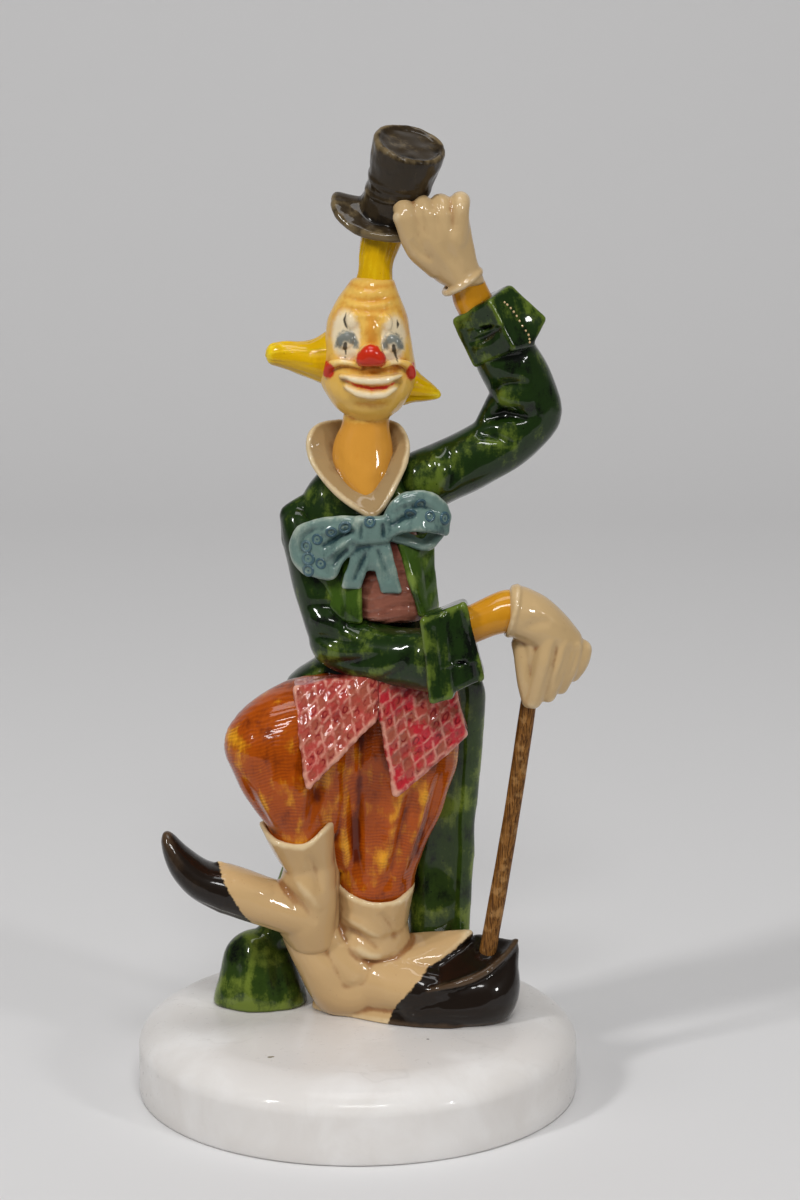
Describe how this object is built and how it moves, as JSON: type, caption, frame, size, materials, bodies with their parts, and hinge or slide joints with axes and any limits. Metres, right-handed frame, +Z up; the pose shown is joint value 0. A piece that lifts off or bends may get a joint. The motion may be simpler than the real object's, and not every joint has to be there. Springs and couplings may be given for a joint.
{
  "type": "clown figurine",
  "caption": "Glazed ceramic clown in a green tailcoat, doffing a top hat and leaning on a wooden cane, on a round alabaster plinth.",
  "frame": {"origin": "middle of the plinth's flat underside", "axes": "+Z up through the plinth and the figure, -Y the way the clown faces, +X to the viewer's right"},
  "size_m": [0.1216, 0.12, 0.2614],
  "materials": {
    "alabaster": "polished translucent white alabaster",
    "glazed_ceramic": "hand-painted underglaze colours under clear gloss glaze",
    "cane_wood": "brown stained stick, matt, with dark specks"
  },
  "bodies": {
    "root": {"plinth": "alabaster", "clown_figure": "glazed_ceramic", "cane": "cane_wood"}
  },
  "joints": []
}
